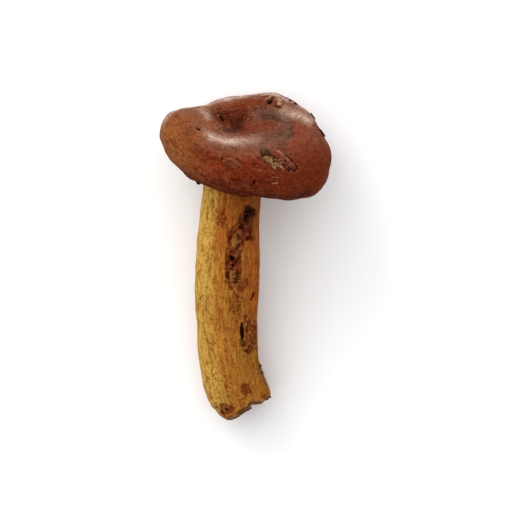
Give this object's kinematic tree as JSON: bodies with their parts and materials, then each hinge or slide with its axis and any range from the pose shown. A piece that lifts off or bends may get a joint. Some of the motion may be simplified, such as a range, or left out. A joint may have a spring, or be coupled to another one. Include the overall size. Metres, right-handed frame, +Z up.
{
  "type": "bay bolete mushroom",
  "caption": "Picked wild mushroom lying on its side: thick wavy chestnut cap with an off-centre dimple, pored underside and a stout ochre stem torn at the foot.",
  "frame": {"origin": "bottom centre of the whole mushroom's box, on the surface that it lies on", "axes": "+Z up, +Y from the torn foot towards the cap, +X to the right of someone who looks down on it with the cap away from them"},
  "size_m": [0.0678, 0.132, 0.061],
  "materials": {
    "cap_skin": "smooth chestnut skin with a satin sheen, fine dark streaks and paler bloom on the crests",
    "tubes": "matt yellow-olive, pitted all over with fine pores",
    "stem_flesh": "matt ochre, streaked lengthwise with fibres, bruised reddish brown",
    "leaf_litter": "matt dark scraps of leaf and bark",
    "soil": "matt dark grey-brown crumbs"
  },
  "bodies": {
    "root": {"cap": "cap_skin", "tube_layer": "tubes", "stem": "stem_flesh", "rim_scrap_upper": "leaf_litter", "rim_scrap_lower": "leaf_litter", "rim_speck_back": "leaf_litter", "rim_speck_right": "leaf_litter", "rim_speck_left": "leaf_litter", "margin_crumb": "leaf_litter", "foot_crumb_upper": "soil", "foot_crumb_lower": "soil", "soil_clod_left": "soil", "soil_clod_middle": "soil", "soil_clod_right": "soil"}
  },
  "joints": []
}
